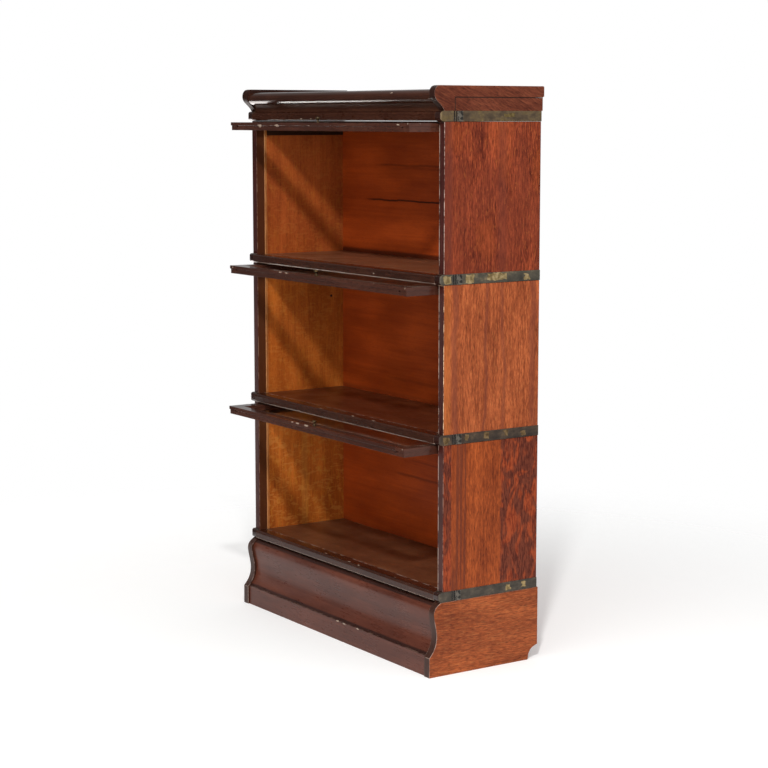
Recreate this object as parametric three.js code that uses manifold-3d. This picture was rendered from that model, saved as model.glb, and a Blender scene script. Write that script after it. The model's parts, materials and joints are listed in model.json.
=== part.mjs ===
// Stacking sectional bookcase with three glazed lift-up doors.
//
// Millimetres, +Z up, the front faces -Y and +X is the viewer's right.
// The units are drawn about the middle of the case. The finished group is then moved
// along Y so that the origin lies on the floor under the middle of the whole object,
// with its doors open.
//
// From the floor up: a base, three equal sections and a cornice. Each section and the
// cornice carries a bullnose rail at its bottom front and a metal band along the bottom
// of each side, which hides the joint with the unit below. Each door is a glazed frame
// that hangs on a rod through its top edge. The rod's ends run in grooves in the side
// boards, so the door swings up to the horizontal and slides back over the books.

import * as THREE from 'three';
import { mergeVertices } from 'three/addons/utils/BufferGeometryUtils.js';
import Module from 'manifold-3d';

const wasm = await Module();
wasm.setup();

// ---- Driving dimensions -------------------------------------------------------------

const SIDE_OUTER = 430.5;      // outer face of a side board, from the middle
const SIDE_THICKNESS = 21.5;
const CASE_FRONT = -137;       // front edges of the side boards
const CASE_BACK = 137;
const BASE_HEIGHT = 175;
const SECTION_HEIGHT = 367;
const CORNICE_HEIGHT = 80.5;
const STACK_GAP = 0.3;         // between one unit and the unit it stands on

const NOSE_FRONT = -149;       // front of the bullnose rails
const RAIL_BACK = -117;        // where a bullnose rail meets the shelf board
const RAIL_BOTTOM = 1.5;       // heights above the unit's own joint plane
const RAIL_TOP = 22.5;
const RAIL_ROUNDING = 7;

const SHELF_BOTTOM = 3;
const SHELF_TOP = 22;
const BACK_PANEL_FRONT = 128.2;
const BACK_PANEL_THICKNESS = 6;

const BAND_HEIGHT = 24;
const BAND_THICKNESS = 1;
const BAND_NOSE_ROUNDING = 9;
const BAND_NECK = [-112, -102.5];   // thin stretch behind the nose, along Y
const BAND_NECK_THICKNESS = 0.4;
const BAND_CLASP = [-102.5, -88];   // raised block, along Y
const BAND_CLASP_RISE = 0.5;
const PART_GAP = 0.3;

const DOOR_HALF_WIDTH = 403.5;
const DOOR_THICKNESS = 20;
const DOOR_LENGTH = 336;       // from its top edge to its bottom edge
const ROD_TO_TOP_EDGE = 6.5;
const ROD_HEIGHT = 354;        // above the section's joint plane
const STILE_WIDTH = 34;
const TOP_RAIL_WIDTH = 34;
const BOTTOM_RAIL_WIDTH = 32;
const GLASS_THICKNESS = 3;
const GLASS_GROOVE = 3.4;
const GLASS_GROOVE_DEPTH = 6;
const GLASS_EDGE_IN_GROOVE = 5;

const ROD_RADIUS = 3;
const ROD_BORE_RADIUS = 3.06;
const ROD_GROOVE_HALF = 3.5;
const ROD_GROOVE_DEPTH = 4;
const ROD_FRONT = -125;        // rod's axis with the door drawn right forward
const ROD_BACK = 120;          // and with it pushed right back
const ROD_SIDES = 48;

const GUIDE_THICKNESS = 4;
const STOP_FRONT = -114.5;
const STOP_BACK = -108.5;
const STOP_LIFT = 2.5;         // the strips end this far above the shelf board
const RUNNER_BACK = 128;
const RUNNER_BOTTOM = 330;
const RUNNER_TOP = 343;

const KNOB_FROM_EDGE = 12;     // knob centre to the door's bottom edge

const SIDE_INNER = SIDE_OUTER - SIDE_THICKNESS;
const STRAP_OUTER = SIDE_OUTER + BAND_THICKNESS;
const BACK_PANEL_BACK = BACK_PANEL_FRONT + BACK_PANEL_THICKNESS;

// The front edge of each open door, as it stands.
const SECTIONS = [
  { name: 'lower', doorFront: -228.5 },
  { name: 'middle', doorFront: -222 },
  { name: 'upper', doorFront: -215 },
];

// The front-to-back extent of the whole object, which centres the origin.
const CORNICE_BACK = 145;
const ORIGIN_SHIFT = -(SECTIONS[0].doorFront + CORNICE_BACK) / 2;

// ---- Materials ----------------------------------------------------------------------

const LOOKS = {
  side_wood: { color: 0x8c4426, roughness: 0.42, metalness: 0 },
  dark_wood: { color: 0x3c2118, roughness: 0.38, metalness: 0 },
  shelf_wood: { color: 0x5c3020, roughness: 0.5, metalness: 0 },
  back_wood: { color: 0x6a2412, roughness: 0.5, metalness: 0 },
  band_metal: { color: 0x4a463c, roughness: 0.5, metalness: 0.8 },
  knob_brass: { color: 0xa08248, roughness: 0.35, metalness: 0.9 },
  rod_steel: { color: 0x8a8884, roughness: 0.4, metalness: 0.9 },
  door_glass: { color: 0xdfe6e2, roughness: 0.05, metalness: 0 },
};

function lookOf(name) {
  return new THREE.MeshStandardMaterial(LOOKS[name]);
}

// ---- Shape helpers ------------------------------------------------------------------

// A box between two corners.
function box([x0, y0, z0], [x1, y1, z1]) {
  const geometry = new THREE.BoxGeometry(x1 - x0, y1 - y0, z1 - z0);
  geometry.translate((x0 + x1) / 2, (y0 + y1) / 2, (z0 + z1) / 2);
  return geometry;
}

// A [y, z] outline carried along X from x0 to x1.
function alongX(outline, x0, x1) {
  const shape = new THREE.Shape(outline.map(([y, z]) => new THREE.Vector2(y, z)));
  const geometry = new THREE.ExtrudeGeometry(shape, { depth: x1 - x0, bevelEnabled: false });
  geometry.applyMatrix4(new THREE.Matrix4().makeBasis(
    new THREE.Vector3(0, 1, 0),
    new THREE.Vector3(0, 0, 1),
    new THREE.Vector3(1, 0, 0),
  ));
  geometry.translate(x0, 0, 0);
  return geometry;
}

// An [x, z] outline carried along Y from y0 to y1.
function alongY(outline, y0, y1) {
  const shape = new THREE.Shape(outline.map(([x, z]) => new THREE.Vector2(x, z)));
  const geometry = new THREE.ExtrudeGeometry(shape, { depth: y1 - y0, bevelEnabled: false });
  geometry.applyMatrix4(new THREE.Matrix4().makeBasis(
    new THREE.Vector3(1, 0, 0),
    new THREE.Vector3(0, 0, 1),
    new THREE.Vector3(0, -1, 0),
  ));
  geometry.translate(0, y1, 0);
  return geometry;
}

// A cylinder along X.
function rodAlongX(radius, x0, x1, y, z) {
  const geometry = new THREE.CylinderGeometry(radius, radius, x1 - x0, ROD_SIDES);
  geometry.rotateZ(Math.PI / 2);
  geometry.translate((x0 + x1) / 2, y, z);
  return geometry;
}

// A smooth outline through the given points.
function smooth(points, count) {
  const curve = new THREE.SplineCurve(points.map(([y, z]) => new THREE.Vector2(y, z)));
  return curve.getPoints(count).map((point) => [point.x, point.y]);
}

// Points on an arc, from one angle to another in degrees.
function arc(centreY, centreZ, radius, from, to, count) {
  const points = [];
  for (let i = 0; i <= count; i += 1) {
    const angle = THREE.MathUtils.degToRad(from + ((to - from) * i) / count);
    points.push([centreY + radius * Math.cos(angle), centreZ + radius * Math.sin(angle)]);
  }
  return points;
}

// A block whose two front corners are rounded, as a [y, z] outline.
function roundedNose(front, back, bottom, top, rounding) {
  return [
    [back, bottom],
    [back, top],
    ...arc(front + rounding, top - rounding, rounding, 90, 180, 6),
    ...arc(front + rounding, bottom + rounding, rounding, 180, 270, 6),
  ];
}

function toManifold(geometry) {
  const bare = geometry.clone();
  bare.deleteAttribute('normal');
  bare.deleteAttribute('uv');
  const merged = mergeVertices(bare, 1e-4);
  const mesh = new wasm.Mesh({
    numProp: 3,
    vertProperties: new Float32Array(merged.attributes.position.array),
    triVerts: new Uint32Array(merged.index.array),
  });
  return new wasm.Manifold(mesh);
}

function fromManifold(solid) {
  const mesh = solid.getMesh();
  const geometry = new THREE.BufferGeometry();
  geometry.setAttribute('position', new THREE.BufferAttribute(mesh.vertProperties, 3));
  geometry.setIndex(new THREE.BufferAttribute(mesh.triVerts, 1));
  geometry.computeVertexNormals();
  return geometry;
}

function cut(geometry, ...tools) {
  let solid = toManifold(geometry);
  for (const tool of tools) {
    solid = solid.subtract(toManifold(tool));
  }
  return fromManifold(solid);
}

function join(first, ...others) {
  let solid = toManifold(first);
  for (const other of others) {
    solid = solid.add(toManifold(other));
  }
  return fromManifold(solid);
}

function addPart(group, name, geometry, look) {
  const mesh = new THREE.Mesh(geometry, lookOf(look));
  mesh.name = name;
  group.add(mesh);
  return mesh;
}

// A right-hand piece and its mirror image on the left.
function addPair(group, name, geometry, look) {
  addPart(group, `${name}_right`, geometry, look);
  addPart(group, `${name}_left`, geometry, look).scale.x = -1;
}

// ---- Pieces shared by the units -----------------------------------------------------

// A metal band: a rounded nose in front of the side board, then a thin strap along the
// side with a thin neck and a raised clasp behind the nose.
function bandRight() {
  const nose = alongX(
    roundedNose(NOSE_FRONT, CASE_FRONT, STACK_GAP, BAND_HEIGHT, BAND_NOSE_ROUNDING),
    SIDE_INNER + PART_GAP,
    STRAP_OUTER,
  );
  const strap = box([SIDE_OUTER, CASE_FRONT - 2, STACK_GAP], [STRAP_OUTER, CASE_BACK, BAND_HEIGHT]);
  const neck = box(
    [SIDE_OUTER + BAND_NECK_THICKNESS, BAND_NECK[0], STACK_GAP - 1],
    [STRAP_OUTER + 1, BAND_NECK[1], BAND_HEIGHT + 1],
  );
  const clasp = box(
    [SIDE_OUTER + BAND_THICKNESS / 2, BAND_CLASP[0], 4],
    [STRAP_OUTER + BAND_CLASP_RISE, BAND_CLASP[1], BAND_HEIGHT - 4],
  );
  return join(cut(join(nose, strap), neck), clasp);
}

// A side board with the groove that one end of its door's rod runs in.
function sideBoardRight() {
  const board = box([SIDE_INNER, CASE_FRONT, STACK_GAP], [SIDE_OUTER, CASE_BACK, SECTION_HEIGHT]);
  const front = ROD_FRONT - PART_GAP;
  const back = ROD_BACK + PART_GAP;
  const slot = [
    ...arc(back, ROD_HEIGHT, ROD_GROOVE_HALF, -90, 90, 12),
    ...arc(front, ROD_HEIGHT, ROD_GROOVE_HALF, 90, 270, 12),
  ];
  return cut(board, alongX(slot, SIDE_INNER - 1, SIDE_INNER + ROD_GROOVE_DEPTH));
}

// An upright stop strip with the door's runner behind its top, in one piece.
function doorGuideRight() {
  const bottom = SHELF_TOP + STOP_LIFT;
  const outline = [
    [STOP_FRONT, bottom],
    [STOP_BACK, bottom],
    [STOP_BACK, RUNNER_BOTTOM],
    [RUNNER_BACK, RUNNER_BOTTOM],
    [RUNNER_BACK, RUNNER_TOP],
    [STOP_FRONT, RUNNER_TOP],
  ];
  return alongX(outline, SIDE_INNER - GUIDE_THICKNESS, SIDE_INNER);
}

function bullnoseRail() {
  const outline = roundedNose(NOSE_FRONT, RAIL_BACK, RAIL_BOTTOM, RAIL_TOP, RAIL_ROUNDING);
  return alongX(outline, -SIDE_INNER, SIDE_INNER);
}

// ---- Door ---------------------------------------------------------------------------

// The section of a frame member, with the glass groove in the edge that faces the glass.
// across runs from the plain edge (0) to the grooved edge (width).
function frameSection(width) {
  const half = DOOR_THICKNESS / 2;
  const groove = GLASS_GROOVE / 2;
  return [
    [0, -half],
    [width, -half],
    [width, -groove],
    [width - GLASS_GROOVE_DEPTH, -groove],
    [width - GLASS_GROOVE_DEPTH, groove],
    [width, groove],
    [width, half],
    [0, half],
  ];
}

// The door as it lies open. Its rod is at the back and its outer face looks up.
function buildDoor(group, name, doorFront) {
  const back = doorFront + DOOR_LENGTH;
  const rodY = back - ROD_TO_TOP_EDGE;
  const railSpan = DOOR_HALF_WIDTH - STILE_WIDTH;
  const bore = rodAlongX(
    ROD_BORE_RADIUS,
    -DOOR_HALF_WIDTH - 1,
    DOOR_HALF_WIDTH + 1,
    rodY,
    ROD_HEIGHT,
  );

  const stileSection = frameSection(STILE_WIDTH)
    .map(([across, z]) => [DOOR_HALF_WIDTH - across, ROD_HEIGHT + z]);
  const stile = cut(alongY(stileSection, doorFront, back), bore);
  addPair(group, `${name}_door_stile`, stile, 'dark_wood');

  const topSection = frameSection(TOP_RAIL_WIDTH)
    .map(([across, z]) => [back - across, ROD_HEIGHT + z]);
  const topRail = cut(alongX(topSection, -railSpan, railSpan), bore);
  addPart(group, `${name}_door_top_rail`, topRail, 'dark_wood');

  const bottomSection = frameSection(BOTTOM_RAIL_WIDTH)
    .map(([across, z]) => [doorFront + across, ROD_HEIGHT + z]);
  const bottomRail = alongX(bottomSection, -railSpan, railSpan);
  addPart(group, `${name}_door_bottom_rail`, bottomRail, 'dark_wood');

  const glassSide = railSpan + GLASS_EDGE_IN_GROOVE;
  const glassFront = doorFront + BOTTOM_RAIL_WIDTH - GLASS_EDGE_IN_GROOVE;
  const glassBack = back - TOP_RAIL_WIDTH + GLASS_EDGE_IN_GROOVE;
  const glass = box(
    [-glassSide, glassFront, ROD_HEIGHT - GLASS_THICKNESS / 2],
    [glassSide, glassBack, ROD_HEIGHT + GLASS_THICKNESS / 2],
  );
  addPart(group, `${name}_door_glass`, glass, 'door_glass');

  addPart(group, `${name}_door_knob`, knob(doorFront + KNOB_FROM_EDGE), 'knob_brass');

  const rodEnd = SIDE_INNER + ROD_GROOVE_DEPTH - PART_GAP;
  const rod = rodAlongX(ROD_RADIUS, -rodEnd, rodEnd, rodY, ROD_HEIGHT);
  addPart(group, `${name}_door_rod`, rod, 'rod_steel');
}

// A turned knob that stands on the outer face of the door's bottom rail.
function knob(y) {
  const profile = [
    [0, 0],
    [5, 0],
    [5, 1],
    [2.6, 2.4],
    [2.4, 6],
    [4.2, 8],
    [5.8, 10],
    [5.8, 11.6],
    [4.2, 13],
    [0, 13.6],
  ].map(([radius, height]) => new THREE.Vector2(radius, height));
  const geometry = new THREE.LatheGeometry(profile, 24);
  geometry.rotateX(Math.PI / 2);
  geometry.translate(0, y, ROD_HEIGHT + DOOR_THICKNESS / 2);
  return geometry;
}

// ---- Units --------------------------------------------------------------------------

function buildSection({ name, doorFront }) {
  const section = new THREE.Group();
  addPair(section, `${name}_side`, sideBoardRight(), 'side_wood');
  addPair(section, `${name}_band`, bandRight(), 'band_metal');
  addPair(section, `${name}_door_guide`, doorGuideRight(), 'dark_wood');
  addPart(section, `${name}_front_rail`, bullnoseRail(), 'dark_wood');
  const shelf = box(
    [-SIDE_INNER, RAIL_BACK, SHELF_BOTTOM],
    [SIDE_INNER, BACK_PANEL_FRONT, SHELF_TOP],
  );
  addPart(section, `${name}_shelf_board`, shelf, 'shelf_wood');
  const back = box(
    [-SIDE_INNER, BACK_PANEL_FRONT, SHELF_BOTTOM],
    [SIDE_INNER, BACK_PANEL_BACK, SECTION_HEIGHT - PART_GAP],
  );
  addPart(section, `${name}_back_panel`, back, 'back_wood');
  buildDoor(section, name, doorFront);
  return section;
}

function buildBase() {
  const base = new THREE.Group();
  const plinthTop = 47;
  const endFront = -174.5;
  const endBack = 142;
  const endOutline = [
    [endBack, BASE_HEIGHT - STACK_GAP],
    ...smooth([
      [-142, BASE_HEIGHT - STACK_GAP],
      [-152, 168],
      [-159.5, 159],
      [-161.8, 148],
      [-159.5, 132],
      [-155.5, 113],
      [-153.5, 96],
      [-155.5, 79],
      [-161, 65],
      [-168.5, 54],
      [endFront, plinthTop],
    ], 26),
    [endFront, 0],
    ...smooth([
      [113.6, 0],
      [115.5, 12],
      [121, 23],
      [130, 30],
      [endBack, 34.5],
    ], 8),
  ];
  addPair(base, 'base_end', alongX(endOutline, SIDE_INNER, SIDE_OUTER), 'side_wood');

  const mouldingBack = -120;
  const plinthFront = -170.5;
  const plinthBottom = 4.5;    // the moulding hangs clear of the floor between the ends
  const fillet = 49.5;
  const mouldingOutline = [
    [mouldingBack, 173],
    ...smooth([
      [-137, 173],
      [-146.5, 169],
      [-154, 160],
      [-156.5, 149],
      [-154, 132],
      [-149.5, 113],
      [-147.5, 96],
      [-149.5, 80],
      [-155.5, 66],
      [-163.5, 54.5],
      [-167.5, fillet],
    ], 26),
    [plinthFront, fillet],
    [plinthFront, plinthBottom],
    [mouldingBack, plinthBottom],
  ];
  addPart(base, 'base_front_moulding', alongX(mouldingOutline, -SIDE_INNER, SIDE_INNER), 'dark_wood');

  const backRail = box([-SIDE_INNER, 119, 40], [SIDE_INNER, CASE_BACK, BASE_HEIGHT - STACK_GAP]);
  addPart(base, 'base_back_rail', backRail, 'back_wood');
  return base;
}

function buildCornice() {
  const cornice = new THREE.Group();
  const shoulder = BAND_HEIGHT + PART_GAP;
  const stepTop = 57;
  const stepBottom = 55;
  const middleBack = 141;
  const endOutline = [
    [CASE_FRONT, STACK_GAP],
    [CASE_BACK, STACK_GAP],
    [CASE_BACK, shoulder],
    [middleBack, shoulder],
    [middleBack, stepBottom],
    [CORNICE_BACK, stepTop],
    [CORNICE_BACK, CORNICE_HEIGHT - 2],
    [CORNICE_BACK - 2, CORNICE_HEIGHT],
    ...smooth([
      [-150.5, CORNICE_HEIGHT],
      [-157, 78.5],
      [-161.7, 74],
      [-164.4, 68],
      [-165, 61.5],
      [-163.6, 54.5],
      [-160, 48.7],
      [-154, 43],
      [-147.5, 37],
      [-142, 31],
      [-138, shoulder],
    ], 24),
    [CASE_FRONT, shoulder],
  ];
  addPair(cornice, 'cornice_end', alongX(endOutline, SIDE_INNER, SIDE_OUTER), 'side_wood');
  addPair(cornice, 'cornice_band', bandRight(), 'band_metal');

  const boardOutline = roundedNose(
    NOSE_FRONT,
    BACK_PANEL_FRONT,
    RAIL_BOTTOM,
    RAIL_TOP,
    RAIL_ROUNDING,
  );
  addPart(cornice, 'cornice_bottom_board', alongX(boardOutline, -SIDE_INNER, SIDE_INNER), 'dark_wood');

  const mouldingBack = -118;
  const mouldingBottom = RAIL_TOP + PART_GAP;
  const mouldingTop = 72;
  const rollBottom = 41.5;
  const mouldingOutline = [
    [mouldingBack, mouldingBottom],
    [mouldingBack, mouldingTop],
    ...smooth([
      [-145, mouldingTop],
      [-153, 70],
      [-158.6, 65],
      [-161, 58.5],
      [-159.8, 51.5],
      [-155.8, 45.8],
      [-150, rollBottom],
    ], 14),
    ...smooth([
      [-146.5, rollBottom],
      [-142, 37.5],
      [-139.5, 31],
      [-138.6, mouldingBottom],
    ], 8),
  ];
  addPart(
    cornice,
    'cornice_front_moulding',
    alongX(mouldingOutline, -SIDE_INNER, SIDE_INNER),
    'dark_wood',
  );

  const topBoard = box([-SIDE_INNER, mouldingBack, 56], [SIDE_INNER, CASE_BACK, mouldingTop]);
  addPart(cornice, 'cornice_top_board', topBoard, 'side_wood');
  const backRail = box([-SIDE_INNER, BACK_PANEL_FRONT, SHELF_BOTTOM], [SIDE_INNER, CASE_BACK, 56]);
  addPart(cornice, 'cornice_back_rail', backRail, 'back_wood');
  return cornice;
}

// ---- The whole bookcase -------------------------------------------------------------

const bookcase = new THREE.Group();
bookcase.name = 'barrister_bookcase';
bookcase.add(buildBase());
SECTIONS.forEach((plan, index) => {
  const section = buildSection(plan);
  section.position.z = BASE_HEIGHT + index * SECTION_HEIGHT;
  bookcase.add(section);
});
const cornice = buildCornice();
cornice.position.z = BASE_HEIGHT + SECTIONS.length * SECTION_HEIGHT;
bookcase.add(cornice);
bookcase.position.y = ORIGIN_SHIFT;

export default bookcase;
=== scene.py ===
"""Looks for a stacking sectional bookcase in stained oak, with three glazed doors standing open.

Every wooden and metal piece but the doors' rods is rebuilt with rounded arrises, smooth mouldings
and a procedural finish, and stands for its CAD node; the rods keep their CAD shape and take a steel
finish. Shapes are worked out in millimetres in the coordinates of the unit they belong to: x and y
from the middle of the case, z from the joint plane that the unit stands on. The frame says where
those planes are.
"""

import functools
import json
import math

import bmesh
import bpy
from mathutils import Matrix, Vector


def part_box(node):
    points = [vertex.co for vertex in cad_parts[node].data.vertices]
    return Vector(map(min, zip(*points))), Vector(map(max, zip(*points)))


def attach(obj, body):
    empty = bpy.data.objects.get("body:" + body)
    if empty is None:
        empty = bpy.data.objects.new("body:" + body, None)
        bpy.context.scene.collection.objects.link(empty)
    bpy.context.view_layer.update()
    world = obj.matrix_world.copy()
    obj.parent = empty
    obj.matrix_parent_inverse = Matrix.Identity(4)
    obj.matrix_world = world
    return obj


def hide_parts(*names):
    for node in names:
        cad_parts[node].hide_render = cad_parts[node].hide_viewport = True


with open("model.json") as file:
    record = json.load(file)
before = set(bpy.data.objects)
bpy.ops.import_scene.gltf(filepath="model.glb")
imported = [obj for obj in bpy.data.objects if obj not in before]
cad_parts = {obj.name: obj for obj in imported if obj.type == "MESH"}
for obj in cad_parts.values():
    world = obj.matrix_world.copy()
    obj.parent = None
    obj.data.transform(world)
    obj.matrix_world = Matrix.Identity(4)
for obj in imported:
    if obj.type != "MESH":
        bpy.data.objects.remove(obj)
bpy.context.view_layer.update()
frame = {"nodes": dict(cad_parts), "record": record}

MM = 0.001

# ---- Places, from the frame ----

SECTIONS = ("lower", "middle", "upper")
STACK_GAP = 0.3            # a unit's lowest wood stands this far above its joint plane

BODY_OF = {
    node: body
    for body, nodes in frame["record"]["behaviour"]["bodies"].items()
    for node in nodes
}


def find_datums():
    """Where each unit's own millimetre coordinates start, in metres."""
    low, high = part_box("lower_side_right")
    case_middle = (low.y + high.y) / 2
    datums = {"base": Vector((0, case_middle, 0))}
    for unit in (*SECTIONS, "cornice"):
        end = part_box(f"{unit}_side_right" if unit in SECTIONS else "cornice_end_right")
        datums[unit] = Vector((0, case_middle, end[0].z - STACK_GAP * MM))
    return datums


DATUM = find_datums()


def datum_of(node):
    """A node's name starts with its unit's."""
    return DATUM[node.split("_")[0]]


def local_box(node):
    """A CAD node's lowest and highest corners, in its unit's millimetres."""
    low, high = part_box(node)
    return (low - datum_of(node)) / MM, (high - datum_of(node)) / MM


def local_middle(node):
    low, high = local_box(node)
    return (low + high) / 2


SIDE_LOW, SIDE_HIGH = local_box("lower_side_right")
SIDE_INNER = SIDE_LOW.x
SIDE_OUTER = SIDE_HIGH.x
CASE_FRONT = SIDE_LOW.y
CASE_BACK = SIDE_HIGH.y
NOSE_FRONT = local_box("lower_front_rail")[0].y
BAND_OUTER = SIDE_OUTER + 1
CLASP_OUTER = local_box("lower_band_right")[1].x
STOP_FRONT = local_box("lower_door_guide_right")[0].y

# ---- Meshes ----


def at_axis(axis, along, first, second):
    """A point from its place along one axis and its places on the other two, in order."""
    point = [first, second]
    point.insert(axis, along)
    return point


def loft(rings):
    """A closed mesh through rings of points, with its two ends filled."""
    shape = bmesh.new()
    rows = [[shape.verts.new(point) for point in ring] for ring in rings]
    for row, following in zip(rows, rows[1:]):
        for i in range(len(row)):
            j = (i + 1) % len(row)
            shape.faces.new((row[i], row[j], following[j], following[i]))
    shape.faces.new(rows[0])
    shape.faces.new(rows[-1])
    bmesh.ops.recalc_face_normals(shape, faces=shape.faces)
    return shape


def prism(outline, start, end, axis):
    """A closed outline carried straight along an axis."""
    return loft([[at_axis(axis, along, u, v) for u, v in outline] for along in (start, end)])


def along_x(outline, low, high):
    """A section in Y and Z, carried along X between two corners."""
    return prism(outline, low.x, high.x, 0)


def block(low, high):
    outline = [(low[1], low[2]), (high[1], low[2]), (high[1], high[2]), (low[1], high[2])]
    return prism(outline, low[0], high[0], 0)


def arc(centre_u, centre_v, radius, start, end, count=10):
    """Points on an arc, between two angles in degrees."""
    angles = [math.radians(start + (end - start) * i / count) for i in range(count + 1)]
    return [(centre_u + radius * math.cos(a), centre_v + radius * math.sin(a)) for a in angles]


def smooth(points, count):
    """A Catmull-Rom curve through points, with its end points doubled."""
    padded = [points[0], *points, points[-1]]
    spans = len(points) - 1
    curve = []
    for i in range(count + 1):
        place = min(i / count * spans, spans - 1e-9)
        span = int(place)
        t = place - span
        a, b, c, d = (Vector(p) for p in padded[span:span + 4])
        point = (
            b
            + (c - a) * (0.5 * t)
            + (a * 2 - b * 5 + c * 4 - d) * (0.5 * t * t)
            + (b * 3 - a - c * 3 + d) * (0.5 * t * t * t)
        )
        curve.append((point.x, point.y))
    return curve


def rounded_nose(front, back, bottom, top, above, below):
    """A board's section whose two front corners are rounded, to their own radii."""
    return [
        (back, bottom),
        (back, top),
        *arc(front + above, top - above, above, 90, 180),
        *arc(front + below, bottom + below, below, 180, 270),
    ]


def new_object(name, data):
    """An object that stands in the scene."""
    made = bpy.data.objects.new(name, data)
    bpy.context.scene.collection.objects.link(made)
    return made


def scratch_object(shape):
    mesh = bpy.data.meshes.new("scratch")
    shape.to_mesh(mesh)
    return new_object("scratch", mesh)


def combine(shape, tool, operation="DIFFERENCE"):
    """One solid cut by (DIFFERENCE), joined to (UNION) or kept inside (INTERSECT) another."""
    first = scratch_object(shape)
    second = scratch_object(tool)
    modifier = first.modifiers.new("combine", "BOOLEAN")
    modifier.operation = operation
    modifier.solver = "EXACT"
    modifier.object = second
    bpy.context.view_layer.update()
    evaluated = first.evaluated_get(bpy.context.evaluated_depsgraph_get())
    result = bmesh.new()
    result.from_mesh(evaluated.to_mesh())
    evaluated.to_mesh_clear()
    for thing in (first, second):
        mesh = thing.data
        bpy.data.objects.remove(thing)
        bpy.data.meshes.remove(mesh)
    bmesh.ops.remove_doubles(result, verts=result.verts, dist=0.001)
    bmesh.ops.recalc_face_normals(result, faces=result.faces)
    return result


def soften(shape, width, segments=2, sharpest=30):
    """Rounds every sharp edge, and marks the new faces as worn."""
    worn = shape.faces.layers.float.new("worn")
    edges = [
        edge for edge in shape.edges
        if edge.is_manifold and edge.calc_face_angle() > math.radians(sharpest)
    ]
    made = bmesh.ops.bevel(
        shape, geom=edges, offset=width, segments=segments, profile=0.5, affect="EDGES", clamp_overlap=True,
    )
    for face in made["faces"]:
        face[worn] = 1
    return shape


def paint(shape, choose):
    """Gives each face the material slot that choose(normal, middle) returns."""
    shape.normal_update()
    for face in shape.faces:
        face.material_index = choose(face.normal, face.calc_center_median())
    return shape


def mirrored(shape):
    other = shape.copy()
    bmesh.ops.scale(other, vec=(-1, 1, 1), verts=other.verts)
    bmesh.ops.reverse_faces(other, faces=other.faces)
    return other


def add_piece(node, shape, finishes, extra=None):
    """Turns a shape in unit millimetres into a piece that rides with its CAD node's body.

    An extra piece has a name of its own and doesn't stand for the node.
    """
    name = extra or f"{node}_piece"
    mesh = bpy.data.meshes.new(name)
    shape.to_mesh(mesh)
    mesh.transform(Matrix.Translation(datum_of(node)) @ Matrix.Scale(MM, 4))
    for finish in finishes:
        mesh.materials.append(finish)
    mesh.shade_smooth()
    mesh.set_sharp_from_angle(angle=math.radians(40))
    piece = new_object(name, mesh)
    flat = piece.modifiers.new("flat faces stay flat", "WEIGHTED_NORMAL")
    flat.keep_sharp = True
    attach(piece, BODY_OF[node])
    if not extra:
        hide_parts(node)


def add_pair(node, right_shape, finishes, extra=None, left_finishes=None):
    """A right-hand piece and its mirror image on the left."""
    sides = (
        ("right", right_shape, finishes),
        ("left", mirrored(right_shape), left_finishes or finishes),
    )
    for side, shape, side_finishes in sides:
        side_extra = f"{extra}_{side}" if extra else None
        add_piece(f"{node}_{side}", shape, side_finishes, side_extra)


def add_board(node, softness, finish):
    """A plain board that fills its CAD node's box, with its arrises softened."""
    add_piece(node, soften(block(*local_box(node)), softness), [finish])


# ---- Materials ----


def colour(code):
    """A linear colour from its sRGB hex code."""
    channels = [int(code[i:i + 2], 16) / 255 for i in (0, 2, 4)]
    linear = [c / 12.92 if c <= 0.04045 else ((c + 0.055) / 1.055) ** 2.4 for c in channels]
    return (*linear, 1)


def shades(code, contrast):
    """A wood's dark, middle and light colours. The dark is redder and the light more golden."""
    middle = colour(code)
    dark = [c * (1 - contrast * share) for c, share in zip(middle, (0.8, 0.95, 1))]
    light = [c * (1 + contrast * share) for c, share in zip(middle, (1.1, 1.4, 1.5))]
    return (*dark, 1), middle, (*light, 1)


AXIS = {"x": 0, "y": 1, "z": 2}


class Nodes:
    """A node tree being built."""

    def __init__(self, tree):
        self.tree = tree

    def node(self, kind, inputs=None, **settings):
        made = self.tree.nodes.new("ShaderNode" + kind)
        for key, value in settings.items():
            setattr(made, key, value)
        return self.fill(made, inputs or {})

    def fill(self, made, inputs):
        """Links or sets a node's inputs."""
        for key, value in inputs.items():
            if isinstance(value, bpy.types.NodeSocket):
                self.tree.links.new(value, made.inputs[key])
            else:
                made.inputs[key].default_value = value
        return made

    def math(self, operation, first, second=0):
        return self.node("Math", {0: first, 1: second}, operation=operation).outputs[0]

    def times(self, first, second):
        return self.math("MULTIPLY", first, second)

    def plus(self, first, second):
        return self.math("ADD", first, second)

    def swing(self, noise, size):
        """Noise made to swing about zero."""
        return self.times(self.math("SUBTRACT", noise, 0.5), size)

    def line(self, value, middle, inner, outer):
        """1 where a value is within inner of the middle, falling to 0 at outer."""
        away = self.math("ABSOLUTE", self.math("SUBTRACT", value, middle))
        return self.between(away, inner, outer, 1, 0)

    def between(self, value, low, high, first=0, second=1, kind="SMOOTHSTEP"):
        """Goes from first to second as value goes from low to high."""
        inputs = {"Value": value, "From Min": low, "From Max": high, "To Min": first, "To Max": second}
        return self.node("MapRange", inputs, interpolation_type=kind).outputs[0]

    def inside(self, value, low, high, soft):
        """1 between low and high, fading to 0 over soft outside them."""
        rising = self.between(value, low - soft, low)
        return self.times(rising, self.between(value, high, high + soft, 1, 0))

    def largest(self, values):
        return functools.reduce(lambda first, second: self.math("MAXIMUM", first, second), values)


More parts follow.
